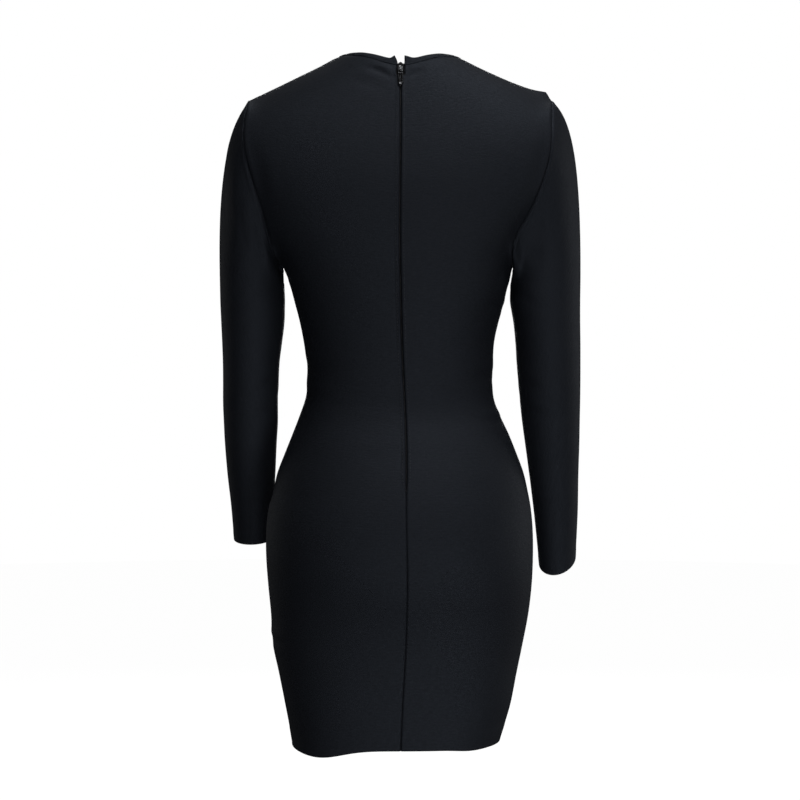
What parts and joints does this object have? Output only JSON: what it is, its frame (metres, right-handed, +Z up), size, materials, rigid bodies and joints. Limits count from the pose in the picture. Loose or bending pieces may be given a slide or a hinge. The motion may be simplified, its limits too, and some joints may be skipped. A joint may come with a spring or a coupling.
{
  "type": "bodycon dress",
  "caption": "Fitted long-sleeved mini dress in ribbed knit, worn shape with nobody inside, round neck, zip down the centre back.",
  "frame": {"origin": "midway between the two shoulder seams at the neck, where a wearer's shoulders hold the dress", "axes": "+Z up, +Y out of the zipped back, -Y out of the front, +X to the wearer's left"},
  "size_m": [0.448, 0.2564, 0.8585],
  "materials": {
    "knit": "matt ribbed bandage knit",
    "tape": "woven zip tape",
    "nylon": "nylon coil",
    "lacquer": "glossy black lacquer"
  },
  "bodies": {
    "dress": {"front": "knit", "back_left": "knit", "back_right": "knit", "sleeve_left": "knit", "sleeve_right": "knit", "neck_binding": "knit", "zip_tape_left": "tape", "zip_tape_right": "tape", "zip_chain": "nylon", "zip_slider": "lacquer"},
    "pull_tab": {"zip_pull_tab": "lacquer"}
  },
  "joints": [
    {"name": "pull_tab_swing", "type": "hinge", "parent": "dress", "child": "pull_tab", "pos_m": [0.00064, 0.06348, -0.02613], "axis": [1, 0, 0], "range_deg": [0, 150]}
  ]
}
